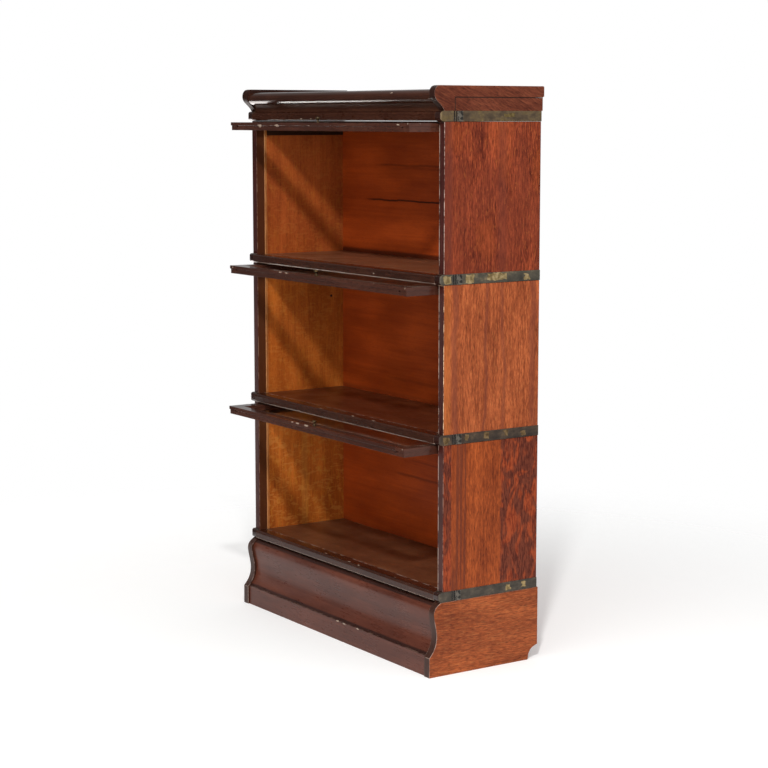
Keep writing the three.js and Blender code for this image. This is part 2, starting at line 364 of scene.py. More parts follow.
class Finish(Nodes):
    """A material being built. Positions in it are millimetres in one unit's coordinates."""

    def __init__(self, name, unit="base"):
        self.material = bpy.data.materials.new(name)
        self.material.use_nodes = True
        super().__init__(self.material.node_tree)
        self.shader = self.tree.nodes["Principled BSDF"]
        place = self.node("TexCoord").outputs["Object"]
        self.place = self.moved(place, scale=(1 / MM,) * 3, location=-DATUM[unit] / MM)
        self.axes = self.node("SeparateXYZ", {"Vector": self.place}).outputs

    def moved(self, vector, scale=(1, 1, 1), location=(0, 0, 0), rotation=(0, 0, 0)):
        inputs = {"Vector": vector, "Scale": scale, "Location": location, "Rotation": rotation}
        return self.node("Mapping", inputs).outputs[0]

    def blend(self, factor, first, second, kind="MIX"):
        """Two colours mixed."""
        inputs = {0: factor, 6: first, 7: second}
        made = self.node("Mix", inputs, data_type="RGBA", blend_type=kind)
        return made.outputs[2]

    def over(self, mask, code, amount=1, kind="MIX"):
        """Lays a colour over the base colour where mask is 1."""
        self.base = self.blend(self.times(mask, amount), self.base, colour(code), kind)

    def noise(self, scale, seed, detail=3, roughness=0.5, distortion=0, place=None):
        """Noise with one frequency per millimetre, or one for each axis."""
        scale = scale if isinstance(scale, tuple) else (scale,) * 3
        place = self.moved(place or self.place, scale=scale, location=(seed, seed * 0.37, -seed * 0.71))
        inputs = {
            "Vector": place,
            "Scale": 1,
            "Detail": detail,
            "Roughness": roughness,
            "Distortion": distortion,
        }
        return self.node("TexNoise", inputs).outputs[0]

    def ramp(self, value, spread, colours):
        """Three colours, for values that reach spread below and above a half."""
        made = self.node("ValToRGB", {"Fac": value})
        elements = made.color_ramp.elements
        elements.new(0.5)
        for element, step, shade in zip(elements, (-1, 0, 1), colours):
            element.position = 0.5 + step * spread
            element.color = shade
        return made.outputs[0]

    def strip(self, axis, low, high, soft):
        """1 between two places on an axis, and soft millimetres of fading outside them."""
        return self.inside(self.axes[AXIS[axis]], low, high, soft)

    def spot(self, centre, radius, rough=None, stretch=(1, 1, 1)):
        """1 near a point, with a ragged edge where rough is a noise."""
        place = self.moved(self.place, scale=stretch)
        inputs = {0: place, 1: [along * share for along, share in zip(centre, stretch)]}
        distance = self.node("VectorMath", inputs, operation="DISTANCE").outputs["Value"]
        if rough is not None:
            distance = self.plus(distance, self.swing(rough, radius * 2.4))
        return self.between(distance, radius * 0.75, radius, 1, 0)

    def attribute(self, name):
        return self.node("Attribute", attribute_name=name).outputs["Fac"]

    def bump(self, height, distance, strength=1):
        inputs = {"Height": height, "Distance": distance, "Strength": strength}
        return self.node("Bump", inputs).outputs[0]

    def set(self, **values):
        """Fills the shader's own sockets, named with underscores for the spaces."""
        self.fill(self.shader, {key.replace("_", " "): value for key, value in values.items()})


def per_axis(grain, along, across):
    """A frequency for each axis: low along the grain and high across it."""
    scale = [across] * 3
    scale[AXIS[grain]] = along
    return tuple(scale)


class Oak(Finish):
    """Stained and varnished oak. Its grain runs along one axis."""

    def __init__(
        self, name, unit, grain, code, seed, contrast=0.5, tilt=0, wave=6, ring=0.16, dashing=0.5,
    ):
        super().__init__(name, unit)
        self.grain = grain
        self.seed = seed
        # The grain wanders a little, and may be tilted about X.
        drift = self.noise(per_axis(grain, 0.004, 0.012), seed + 5, detail=1)
        swing = self.swing(drift, wave * 2)
        shift = self.node("CombineXYZ", {0: swing, 1: swing, 2: swing}).outputs[0]
        warped = self.node("VectorMath", {0: self.place, 1: shift}, operation="ADD")
        self.fibre_place = self.moved(warped.outputs[0], rotation=(tilt, 0, 0))
        self.rings = self.grained(0.003, ring, 1, roughness=0.6)
        self.dashes = self.grained(0.05, 0.34, 2, roughness=0.65)
        self.pores = self.grained(0.09, 0.7, 3, detail=1)
        blotches = self.grained(0.006, 0.02, 4, detail=2)
        rest = 1 - dashing
        tone = self.weighted((self.rings, rest * 0.4), (self.dashes, dashing), (blotches, rest * 0.6))
        self.base = self.ramp(tone, 0.13, shades(code, contrast))

    def grained(self, along, across, step, **settings):
        scale = per_axis(self.grain, along, across)
        return self.noise(scale, self.seed + step * 13.7, place=self.fibre_place, **settings)

    def weighted(self, *parts):
        return functools.reduce(self.plus, [self.times(value, weight) for value, weight in parts])

    def darker(self, mask, code, amount):
        """Multiplies the wood by a colour where mask is 1."""
        self.over(mask, code, amount, "MULTIPLY")

    def add_pores(self, amount, code="3a1a10"):
        self.darker(self.between(self.pores, 0.56, 0.66), code, amount)

    def add_flecks(self, code, amount, low=0.60, high=0.70, along=0.05, across=0.25):
        """The pale figure that quartered oak shows."""
        flecks = self.grained(along, across, 7, detail=1, distortion=0.8)
        self.over(self.between(flecks, low, high), code, amount)

    def add_pale_arrises(self, code, amount=0.8, low=0.42, high=0.6, where=None):
        """Pale arrises in uneven stretches, on the rounded edges or where a mask says: wear, and on some rail
        and front-edge arrises also a painted highlight.
        """
        uneven = self.noise(0.05, self.seed + 31, detail=4, roughness=0.7)
        if where is None:
            where = self.attribute("worn")
        self.over(self.times(where, self.between(uneven, low, high)), code, amount)

    def add_seam(self, corner_y, corner_z, half=0.9, soft=0.5):
        """The dark line of a joint: up from the bottom to a corner, then level to the back."""
        upright = self.strip("y", corner_y - half, corner_y + half, soft)
        below = self.between(self.axes["Z"], corner_z, corner_z + soft, 1, 0)
        level = self.strip("z", corner_z - half, corner_z + half, soft)
        behind = self.between(self.axes["Y"], corner_y - soft, corner_y)
        seam = self.largest([self.times(upright, below), self.times(level, behind)])
        self.over(seam, "1c0e0a", 0.9)

    def add_chips(self, chips, code="b09c8a", amount=0.85):
        """Small knocks through the stain, longest along the grain. Each is a centre and a radius."""
        ragged = self.noise((0.12, 0.4, 0.4), self.seed + 47, roughness=0.7)
        stretch = per_axis(self.grain, 0.32, 1)
        spots = [self.spot((x, y, z), radius, ragged, stretch) for x, y, z, radius in chips]
        self.over(self.largest(spots), code, amount)

    def done(self, roughness=(0.4, 0.55), coat=0, coat_roughness=0.2, specular=0.16, depth=0.00012):
        """Connects the shader and returns the material."""
        grime = self.noise(0.012, self.seed + 61, detail=4)
        gloss = self.weighted((grime, 0.6), (self.dashes, 0.4))
        relief = self.weighted((self.pores, -0.5), (self.dashes, 0.3), (self.rings, 0.4))
        self.set(
            Base_Color=self.base,
            Roughness=self.between(gloss, 0.38, 0.62, *roughness),
            Normal=self.bump(relief, depth, 0.6),
            Coat_Weight=coat,
            Coat_Roughness=coat_roughness,
            Specular_IOR_Level=specular,
        )
        return self.material


# Ways that the varnish of dark pieces shines: its roughness in places, and its specular level.
GLOSSY = ((0.12, 0.16), 0.45)
THIN_GLOSS = ((0.26, 0.32), 0.1)
SHEEN = ((0.27, 0.33), 0.25)
RAIL_GLOSS = ((0.2, 0.26), 0.26)
SATIN = ((0.34, 0.46), 0.25)
MATT = ((0.45, 0.55), 0.1)


def dark_oak(
    name, unit, grain, seed, code="371c12", chips=(), wear=0.6, dark_bands=(), worn="7d6254", polish=GLOSSY,
    pores=0.35, arrises=(),
):
    """The dark brown oak of the front mouldings, rails and door frames.

    Each darker band is the lowest and highest z that it fills. A pale arris line, wear on some arrises and a
    painted highlight on others, is an axis, the lowest and highest places on it, and the least noise that
    leaves it pale.
    """
    oak = Oak(name, unit, grain, code, seed, contrast=0.4, wave=3, dashing=0.3)
    oak.add_pores(pores, "1a0c08")
    # Darker grey-brown bands at the given heights.
    for low, high in dark_bands:
        oak.darker(oak.strip("z", low, high, 3), "5c5248", 0.8)
    oak.add_pale_arrises(worn, wear)
    # Pale arris lines at given places: wear on some arrises, a painted highlight on others.
    for axis, low, high, least in arrises:
        oak.add_pale_arrises("b8a294", 0.65, least, least + 0.13, oak.strip(axis, low, high, 0.5))
    if chips:
        oak.add_chips(chips)
    roughness, specular = polish
    return oak.done(roughness=roughness, specular=specular, depth=0.000015)


def make_side_finishes():
    """The outer faces of the three sections' sides. Each was cut from different oak."""
    made = {}

    upper = Oak("side_oak_upper", "upper", "z", "702d17", 3.1, contrast=0.95)
    upper.add_pores(0.4)
    upper.add_flecks("a4562a", 0.45, along=0.06, across=0.3)
    upper.over(upper.strip("y", -140, -120, 10), "5c2a20", 0.6)
    upper.over(upper.strip("y", 22, 32, 14), "5c2a20", 0.4)
    patchy = upper.noise((0.012, 0.012, 0.006), 7.7)
    upper.over(upper.between(patchy, 0.46, 0.6), "6a2c1a", 0.35)
    upper.over(upper.between(patchy, 0.48, 0.36), "984618", 0.18)
    made["upper"] = upper.done()

    middle = Oak("side_oak_middle", "middle", "z", "904725", 17.4, contrast=0.68)
    middle.add_pores(0.35)
    middle.add_flecks("b26a3a", 0.35, along=0.06, across=0.3)
    middle.over(middle.strip("y", -140, -124, 10), "a8602a", 0.35)
    for centre, width, amount in ((-104, 7, 0.6), (-17, 2, 0.6), (33, 3, 0.5), (120, 8, 0.55)):
        wander = middle.grained(0.006, 0, int(centre) % 7 + 8, detail=2)
        place = middle.plus(middle.axes["Y"], middle.times(wander, 44))
        middle.over(middle.line(place, centre + 22, width * 0.4, width + 5), "6c3424", amount)
    made["middle"] = middle.done()

    lower = Oak("side_oak_lower", "lower", "z", "883d18", 29.8, contrast=0.6, wave=3)
    lower.add_pores(0.45)
    add_glued_boards(lower)
    made["lower"] = lower.done()
    return made


def add_glued_boards(oak):
    """Boards glued side by side: curly at both edges, and plain in the middle."""
    front_seam, streaky_seam, rear_seam = -113, -73, 28
    edge = oak.noise(0.02, oak.seed + 19)
    place = oak.plus(oak.axes["Y"], oak.swing(edge, 14))
    streaky = oak.strip("y", front_seam, streaky_seam, 0.8)
    stripes = oak.noise((0, 0.13, 0.002), oak.seed + 3, detail=2)
    oak.over(streaky, "7c3618", 0.3)
    oak.over(oak.times(streaky, oak.between(stripes, 0.48, 0.58)), "52261a", 0.6)
    front = oak.between(oak.axes["Y"], front_seam - 2, front_seam, 1, 0)
    behind = oak.between(place, rear_seam - 2, rear_seam + 2)
    figured = oak.largest([front, behind])
    oak.over(figured, "5a2a1e", 0.85)
    fibres = oak.fibre_place
    broad = oak.noise((0.024, 0.024, 0.012), oak.seed + 11, detail=2.5, distortion=1.8, place=fibres)
    narrow = oak.noise((0.13, 0.13, 0.03), oak.seed + 23, distortion=0.8, place=fibres)
    curl = oak.weighted((broad, 0.8), (narrow, 0.2))
    # One bright band of the figure slopes down to the front across the rear board.
    slope = math.radians(41.284)
    band_place = -30                 # along the slope's normal, from the middle of the case
    parts = ((oak.axes["Y"], math.cos(slope)), (oak.axes["Z"], -math.sin(slope)), (narrow, 60))
    band = oak.line(oak.weighted(*parts), band_place, 5, 22)
    band = oak.times(band, oak.strip("z", 150, 270, 20))
    curl = oak.weighted((curl, 1), (band, 0.05))
    curly = oak.times(figured, oak.between(curl, 0.44, 0.58))
    oak.over(curly, "9c4420", 0.75)
    fine = oak.times(figured, oak.between(oak.dashes, 0.54, 0.42))
    oak.darker(fine, "b08c80", 0.8)


def make_end_finish(name, unit, grain, code, seed, tilt, fleck, contrast=0.6, seam=None):
    """An end board of the base or the cornice. A seam is the y and z of its corner."""
    oak = Oak(name, unit, grain, code, seed, contrast=contrast, tilt=tilt, ring=0.25)
    oak.add_pores(0.4)
    oak.add_flecks(fleck, 0.35, low=0.56, high=0.66, along=0.04, across=0.4)
    oak.add_pale_arrises("a57c6c", 0.7, 0.38, 0.5)
    if seam:
        oak.add_seam(*seam)
    return oak.done()


def make_inner_finishes():
    """The inner faces of the sides: thinly varnished, and stained dark in front of the door."""
    plans = {
        "upper": ("96461c", 41, 0.12, 4, 0.3),
        "middle": ("a0501a", 53, 0.18, 9, 0.3),
        "lower": ("a8561c", 67, 0.45, 16, 0.4),
    }
    made = {}
    for name, (code, seed, flecks, wave, contrast) in plans.items():
        oak = Oak(f"inner_oak_{name}", name, "z", code, seed, contrast=contrast, wave=wave, dashing=0.12)
        oak.add_pores(0.3)
        oak.add_flecks("bd7426", flecks, low=0.56, high=0.68, along=0.03, across=0.10)
        ripples = oak.noise((0, 0.03, 0.085), seed + 9, distortion=1.8)
        oak.over(oak.between(ripples, 0.52, 0.6), "c07c38", flecks)
        if name == "lower":
            oak.over(oak.strip("y", -4, 12, 3), "b07030", 0.35)
        oak.over(oak.strip("y", -150, STOP_FRONT, 1), "40200f", 0.95)
        oak.add_pale_arrises("a98a74", 0.6)
        if name == "middle":
            oak.over(oak.spot((-SIDE_INNER, 91, 269), 4), "180a05")
        made[name] = oak.done(roughness=(0.42, 0.58), coat=0.03)
    return made


def make_back_finish(name, unit, seed, code="923810", cracks=(), foot_shadow=0):
    """A back panel: deep red-brown with level grain, and a split or two. A painted shadow may darken its
    foot.
    """
    oak = Oak(name, unit, "x", code, seed, contrast=0.3, wave=5, ring=0.12, dashing=0.15)
    oak.add_pores(0.15)
    for start, end, height, width, amount in cracks:
        wander = oak.noise((0.012, 0.012, 0), oak.seed + height)
        level = oak.plus(oak.axes["Z"], oak.times(wander, 8))
        line = oak.line(level, height + 4, width * 0.3, width)
        oak.over(oak.times(line, oak.strip("x", start, end, 60)), "1c0805", amount)
    # A painted shadow along the foot of the back, just above the shelf.
    if foot_shadow:
        foot = local_box(f"{unit}_shelf_board")[1].z
        oak.over(oak.strip("z", foot - 10, foot + 7, 8), "2a1008", foot_shadow)
    return oak.done(roughness=(0.34, 0.48), coat=0.05)


def make_shelf_finish(name, unit, seed, code):
    oak = Oak(name, unit, "x", code, seed, contrast=0.5, wave=6)
    oak.add_pores(0.4)
    rubbed = oak.noise((0.006, 0.02, 0.02), seed + 7, detail=4)
    oak.over(oak.between(rubbed, 0.5, 0.7), "7a4a2e", 0.3)
    oak.add_pale_arrises("9c7a62", 0.6)
    return oak.done(roughness=(0.3, 0.46), coat=0.15, coat_roughness=0.15)


BAND_GROOVES = ((-112.6, -108.7), (-106.5, -102.2))    # two pressed grooves behind the nose
BAND_CLASP = (-101.2, -87)                             # and the raised clasp behind them


def make_band_finish(name, unit, patches, brassiness, darks, brasses):
    """Blackened brass, worn through to the yellow metal in patches."""
    finish = Finish(name, unit)
    cloud = finish.noise((0.03, 0.03, 0.05), brassiness * 90, detail=4, roughness=0.65)
    fine = finish.noise(0.14, 7, detail=2)
    lumps = finish.noise(0.07, 21 + brassiness, detail=2)
    ragged = finish.swing(lumps, 30)
    along = finish.plus(finish.axes["Y"], ragged)
    height = finish.plus(finish.axes["Z"], finish.times(ragged, 0.4))
    masks = [
        finish.times(finish.inside(along, start, end, 1.5), finish.inside(height, low, high, 1.5))
        for start, end, low, high in patches
    ]
    dull = finish.between(cloud, 0.60 - brassiness * 0.25, 0.85 - brassiness * 0.2)
    brass = finish.largest([*masks, finish.times(dull, 0.6)])
    dark = finish.ramp(cloud, 0.2, map(colour, darks))
    yellow = finish.ramp(fine, 0.15, map(colour, brasses))
    base = finish.blend(brass, dark, yellow)
    mottle = finish.between(finish.noise(0.16, 5, detail=2), 0.46, 0.54)
    clasp = finish.strip("y", *BAND_CLASP, 0.5)
    finish.base = finish.blend(clasp, base, finish.blend(mottle, colour("221f1b"), colour("5c564d")))
    grooves = finish.largest([finish.strip("y", low, high, 0.6) for low, high in BAND_GROOVES])
    finish.over(grooves, "0c0b0a", 0.9)
    rubbed = finish.noise((0.04, 0.04, 0.2), 3)
    rub = finish.times(finish.attribute("worn"), finish.between(rubbed, 0.36, 0.5))
    finish.over(rub, "a89c8e", 0.8)
    finish.set(
        Base_Color=finish.base,
        Metallic=finish.between(brass, 0, 1, 0.35, 0.75),
        Roughness=finish.between(fine, 0.3, 0.7, 0.36, 0.56),
        Normal=finish.bump(finish.plus(fine, cloud), 0.00015, 0.5),
    )
    return finish.material


def make_metal(name, codes, roughness, seed):
    """Brass or steel with a little tarnish."""
    finish = Finish(name)
    cloud = finish.noise(0.3, seed, detail=4, roughness=0.6)
    finish.set(
        Base_Color=finish.ramp(cloud, 0.15, map(colour, codes)),
        Metallic=0.95,
        Roughness=finish.between(cloud, 0.3, 0.7, *roughness),
        Normal=finish.bump(cloud, 0.0001, 0.4),
    )
    return finish.material


def make_glass():
    """Clear old sheet glass with a faint film of dust. It lets the lamps' light through."""
    finish = Finish("sheet_glass")
    wave = finish.noise(0.004, 2, detail=1)
    dust = finish.noise(0.02, 5)
    finish.set(
        Base_Color=(0.93, 0.96, 0.95, 1),
        Transmission_Weight=1,
        IOR=1.45,
        Roughness=finish.between(dust, 0.4, 0.7, 0.01, 0.03),
        Normal=finish.bump(wave, 0.0002, 0.2),
    )
    clear = finish.node("BsdfTransparent", {"Color": (0.86, 0.89, 0.87, 1)}).outputs[0]
    shadow = finish.node("LightPath").outputs["Is Shadow Ray"]
    mix = finish.node("MixShader", {0: shadow, 1: finish.shader.outputs[0], 2: clear})
    finish.fill(finish.tree.nodes["Material Output"], {"Surface": mix.outputs[0]})
    return finish.material


# ---- Bands ----

# Each unit's bands: where they are worn through (front, back, bottom and top of each patch), how
# brassy the rest is, and the colours of the dark lacquer and of the brass.
BAND_PLANS = {
    "lower": (
        [(46, 58, 5, 18), (92, 106, 7, 20)], 0,
        ("29241d", "3e372e", "574d40"), ("7a6440", "948056", "ac9468"),
    ),
    "middle": (
        [(-137, -122, 5, 18), (-78, -66, 8, 20), (-22, -8, 6, 20), (36, 50, 9, 21), (84, 98, 4, 14)], 0.1,
        ("241c16", "3c3026", "544434"), ("5c482e", "745c3c", "8a7250"),
    ),
    "upper": (
        [(-138, -118, 5, 20), (-78, -54, 4, 21), (-16, 40, 7, 21), (90, 108, 3, 17)], 0.12,
        ("2e2b25", "464136", "5a5244"), ("7e6a46", "9c865c", "b49e76"),
    ),
    "cornice": (
        [(30, 60, 12, 18)], 0.8,
        ("3c3022", "544431", "6a583e"), ("5c4c2c", "6c5a36", "7c6a42"),
    ),
}


def band_shape():
    """A metal band: a rounded nose, two pressed grooves, a raised clasp and a long strap."""
    low, high = local_box("lower_band_right")
    corner = 5
    floor = BAND_OUTER - 0.7
    plan = [(low.x, NOSE_FRONT), *arc(BAND_OUTER - corner, NOSE_FRONT + corner, corner, -90, 0, 6)]
    for start, end in BAND_GROOVES:
        plan += [(BAND_OUTER, start), (floor, start + 0.5), (floor, end - 0.5), (BAND_OUTER, end)]
    plan += [
        (BAND_OUTER, BAND_CLASP[0] - 0.4), (CLASP_OUTER, BAND_CLASP[0]),
        (CLASP_OUTER, BAND_CLASP[1] - 0.6), (BAND_OUTER, BAND_CLASP[1]),
        (BAND_OUTER, CASE_BACK), (SIDE_OUTER, CASE_BACK), (SIDE_OUTER, CASE_FRONT), (low.x, CASE_FRONT),
    ]
    side = rounded_nose(NOSE_FRONT, CASE_BACK + 5, low.z, high.z, 9, 9)
    upright = prism(plan, low.z - 5, high.z + 5, 2)
    shape = combine(upright, prism(side, low.x - 5, high.x + 5, 0), "INTERSECT")
    nose_metal = BAND_OUTER - 3

    def choose(normal, middle):
        """1 on the nose, apart from its outer edge, where the lacquer is still dark."""
        return 1 if normal.y < -0.3 and middle.x < nose_metal else 0

    return paint(soften(shape, 0.35, sharpest=25), choose)


def add_bands():
    shape = band_shape()
    for number, (unit, plan) in enumerate(BAND_PLANS.items()):
        finish = make_band_finish(f"band_metal_{unit}", unit, *plan)
        nose = dark_oak(f"band_nose_{unit}", unit, "x", 70 + number, "2a1510", wear=0.3)
        add_pair(f"{unit}_band", shape, [finish, nose])


# ---- Sections ----


def side_paint(normal, middle):
    """0 outside, 1 inside, 2 on the front edge."""
    if normal.y < -0.3:
        return 2
    return 0 if normal.x > -0.3 else 1


def side_shape():
    """A side board, with the groove for one end of the door's rod."""
    rod_height = local_middle("lower_door_rod").z
    half_groove = 3.5
    groove_front = -125.3
    groove_back = 120.3
    groove_depth = 4
    groove = [
        *arc(groove_back, rod_height, half_groove, -90, 90, 12),
        *arc(groove_front, rod_height, half_groove, 90, 270, 12),
    ]
    cutter = prism(groove, SIDE_INNER - 1, SIDE_INNER + groove_depth, 0)
    shape = combine(block(SIDE_LOW, SIDE_HIGH), cutter)
    return paint(soften(shape, 1.5, segments=3), side_paint)


def guide_shape():
    """The stop strip that reaches down to the shelf, with the runner behind its top."""
    low, high = local_box("lower_door_guide_right")
    shelf_top = local_box("lower_shelf_board")[1].z
    strip_back = low.y + 6
    runner_bottom = high.z - 13
    strip_bottom = shelf_top + 0.2
    outline = [
        (low.y, strip_bottom), (strip_back, strip_bottom), (strip_back, runner_bottom),
        (high.y, runner_bottom), (high.y, high.z), (low.y, high.z),
    ]
    return soften(along_x(outline, low, high), 0.8)


NOSE_ROUNDING = (7, 3.5)
# The colours of each section's front-edge arrises, worn and brightened as a painted highlight, and of its
# shelf, how dark the painted shadow along the foot of its back is, and the splits in the back: their start,
# end, height, width and strength.
SECTION_LOOKS = {
    "lower": ("8c6a5c", "5e3622", 0.2, [(-120, 80, 190, 5, 0.4), (-60, 80, 230, 4, 0.3)]),
    "middle": ("d8b490", "522614", 0.35, [(-150, 60, 70, 6, 0.3)]),
    "upper": (
        "ac9488", "704630", 0.8,
        [(-250, 60, 165, 3.4, 0.9), (-200, 60, 255, 4, 0.4), (-150, 60, 247, 4, 0.3)],
    ),
}
RAIL_CHIPS = {
    "lower": [(-70, -141, 22, 2), (40, -142, 22, 2.4), (85, -143, 21, 2.2), (240, -140, 22, 1.4)],
    "middle": [(-90, -142, 22, 2), (60, -143, 22, 2.4), (150, -143, 21, 2.4), (-260, -142, 22, 1.6)],
    "upper": [(-320, -142, 22, 1.6), (-250, -142, 22, 1.4), (-160, -142, 22, 1.4), (160, -149, 10, 1.4)],
}


def add_section(name, side_finish, inner_finish, seed):
    arris_code, shelf_code, foot_shadow, cracks = SECTION_LOOKS[name]
    # The front edge's pale arrises, its worn bevels and a line beside its inner arris, are partly wear and
    # partly a painted highlight.
    edge = dark_oak(
        f"front_edge_{name}", name, "z", seed + 1, "3c1712", wear=0.95, worn=arris_code,
        polish=SATIN, arrises=[("x", SIDE_INNER + 1.3, SIDE_INNER + 3.2, 0.4)],
    )
    shaded_edge = dark_oak(f"left_edge_{name}", name, "z", seed + 6, "3c1712", wear=0.2, polish=MATT)
    add_pair(
        f"{name}_side", side_shape(), [side_finish, inner_finish, edge],
        left_finishes=[side_finish, inner_finish, shaded_edge],
    )

    stop = Oak(f"stop_oak_{name}", name, "z", "9a5c2c", seed + 2)
    stop.add_pale_arrises("d8a478", 0.6, 0.3, 0.5)
    # The runner behind the strip's front, under the door, is stained dark and deepened to near-black as
    # painted shade.
    stop.over(stop.strip("y", STOP_FRONT + 7, CASE_BACK, 0.5), "120a08", 0.95)
    add_pair(f"{name}_door_guide", guide_shape(), [stop.done()])

    low, high = local_box(f"{name}_front_rail")
    rail = along_x(rounded_nose(low.y, high.y, low.z, high.z, *NOSE_ROUNDING), low, high)
    # Pale lines on the rail: wear along the back of its top, and a painted highlight along its lower front
    # edge.
    rail_finish = dark_oak(
        f"rail_oak_{name}", name, "x", seed + 3, chips=RAIL_CHIPS[name], polish=RAIL_GLOSS,
        arrises=[("y", high.y - 3.5, high.y + 1, 0.45), ("z", low.z - 1, low.z + 2, 0.3)],
    )
    add_piece(f"{name}_front_rail", soften(rail, 0.6), [rail_finish])

    shelf_finish = make_shelf_finish(f"shelf_oak_{name}", name, seed + 4, shelf_code)
    add_board(f"{name}_shelf_board", 0.6, shelf_finish)

    back_finish = make_back_finish(f"back_oak_{name}", name, seed + 5, cracks=cracks, foot_shadow=foot_shadow)
    add_board(f"{name}_back_panel", 0.5, back_finish)


# ---- Doors ----

DOOR_HALF = 10             # half the frame's thickness
DOOR_REBATE = 2            # the inner part of the frame's edge is set back this far
DOOR_REBATE_LEVEL = 2      # above the frame's middle plane
OVOLO = 6
BEAD = 5
GLASS_GROOVE = (6, 1.7)    # its depth, and half its width
ROD_BORE = 3.06            # its radius
DOOR_SOFTNESS = {"width": 0.7, "sharpest": 40}


def rod_bore(start, end, rod):
    """The solid that cuts the hole for the rod, from one x to another."""
    return prism(arc(rod.y, rod.z, ROD_BORE, 0, 360, 48)[:-1], start, end, 0)


def sight_edge(width):
    """The edge of a frame member that faces the glass, as points from the outer face down."""
    depth, half = GLASS_GROOVE
    ovolo = arc(width - OVOLO, DOOR_HALF - OVOLO, OVOLO, 90, 0, 6)
    bead = arc(width - BEAD, BEAD - DOOR_HALF, BEAD, 0, -90, 6)
    groove = [(width, half), (width - depth, half), (width - depth, -half), (width, -half)]
    return [*ovolo, *groove, *bead]


def member_section(width, least_top=None, least_bottom=None):
    """A frame member's section: its outer edge is at 0 and its glass edge at width.

    The two least values keep the moulded edge square where another member joins it.
    """
    points = []
    for across, level in sight_edge(width):
        if least_top is not None and level > GLASS_GROOVE[1]:
            level = max(level, least_top)
        if least_bottom is not None and level < -GLASS_GROOVE[1]:
            level = min(level, least_bottom)
        points.append((across, level))
    rebate = [(DOOR_REBATE, -DOOR_HALF), (DOOR_REBATE, DOOR_REBATE_LEVEL), (0, DOOR_REBATE_LEVEL)]
    return [(0, DOOR_HALF), *points, *rebate]


def joint_levels(steps=6):
    """How the joining member's moulded edge falls away, as (distance, top level, bottom level)."""
    rows = []
    for i in range(steps + 1):
        angle = math.radians(90 * i / steps)
        top = DOOR_HALF - OVOLO + OVOLO * math.cos(angle)
        bottom = BEAD - DOOR_HALF - BEAD * math.cos(angle)
        rows.append((OVOLO * math.sin(angle), top, bottom))
    return rows


def stile_shape(door, rod):
    """The right stile, mitred into the rails' moulded edges, bored for the rod."""
    low, high = door["stile_right"]
    front, back = low.y, high.y
    width = high.x - low.x
    bottom_rail = door["bottom_rail"][1].y - OVOLO
    top_rail = door["top_rail"][0].y + OVOLO
    rings = []

    def add_ring(y, top, bottom):
        section = member_section(width, top, bottom)
        rings.append([(high.x - across, y, rod.z + level) for across, level in section])

    add_ring(front, DOOR_HALF, -DOOR_HALF)
    for distance, top, bottom in joint_levels():
        add_ring(bottom_rail + distance, top, bottom)
    for distance, top, bottom in reversed(joint_levels()):
        add_ring(top_rail - distance, top, bottom)
    add_ring(back, DOOR_HALF, -DOOR_HALF)
    bore = rod_bore(low.x - 1, high.x + 1, rod)
    notch_low = (low.x - 1, front - 1, rod.z - DOOR_HALF - 1)
    notch = block(notch_low, (high.x + 1, front + DOOR_REBATE, rod.z + DOOR_REBATE_LEVEL))
    return combine(combine(loft(rings), bore), notch)


def knob_shape(y, z):
    """A turned knob with a flared foot, a thin neck and a flattened ball."""
    profile = [
        *smooth([(5.2, 0), (5.2, 1), (3.6, 1.9), (2.6, 3.4), (2.5, 5.4), (3.4, 7.2)], 16),
        *smooth([(3.6, 7.4), (5.2, 8.8), (5.8, 10.6), (5.1, 12.4), (3.2, 13.3), (0.8, 13.6)], 16),
    ]
    return loft([
        [(u, v, z + height) for u, v in arc(0, y, radius, 0, 360, 40)[:-1]]
        for radius, height in profile
    ])


DOOR_CHIPS = {
    "lower": [(-60, -228, 363, 2.4), (-20, -228, 363, 3), (-85, -228, 363, 2)],
    "middle": [(-150, -222, 363, 1.8), (-120, -222, 363, 2.4), (-20, -222, 348, 1.6), (-390, -222, 360, 2)],
    "upper": [(-258, -215, 356, 3.6), (-175, -215, 356, 3.2), (-23, -215, 356, 1.4), (360, -215, 360, 2)],
}


def add_door(name, finishes, seed):
    parts = ("stile_right", "top_rail", "bottom_rail")
    door = {part: local_box(f"{name}_door_{part}") for part in parts}
    rod = local_middle(f"{name}_door_rod")
    front = door["stile_right"][0].y
    back = door["stile_right"][1].y
    half_rail = door["bottom_rail"][1].x
    chips = DOOR_CHIPS[name] + [(398, front, rod.z + 8, 1.5), (402, front + 30, rod.z + 8, 1.5)]
    stile_finish = dark_oak(f"stile_oak_{name}", name, "y", seed + 11, "43241a", chips, wear=0.35)
    rail_finish = dark_oak(f"door_rail_oak_{name}", name, "x", seed + 12, "43241a", chips, wear=0.08)

    stile = soften(stile_shape(door, rod), **DOOR_SOFTNESS)
    add_pair(f"{name}_door_stile", stile, [stile_finish])

    for part, edge, inward in (("bottom_rail", front, 1), ("top_rail", back, -1)):
        low, high = door[part]
        section = member_section(high.y - low.y)
        outline = [(edge + across * inward, rod.z + level) for across, level in section]
        rail = prism(outline, -half_rail, half_rail, 0)
        if part == "top_rail":
            rail = combine(rail, rod_bore(-half_rail - 1, half_rail + 1, rod))
        add_piece(f"{name}_door_{part}", soften(rail, **DOOR_SOFTNESS), [rail_finish])

    add_board(f"{name}_door_glass", 0.3, finishes["glass"])

    knob = f"{name}_door_knob"
    knob_finishes = [finishes["brass"]]
    add_piece(knob, knob_shape(local_middle(knob).y, local_box(knob)[0].z), knob_finishes)

    frame["nodes"][f"{name}_door_rod"].material_slots[0].material = finishes["steel"]


# ---- Base and cornice ----


def outside_is_light(normal, middle):
    """An end board of the base or cornice: stained dark in front and inside."""
    return 1 if normal.y < -0.3 or normal.x < -0.3 else 0


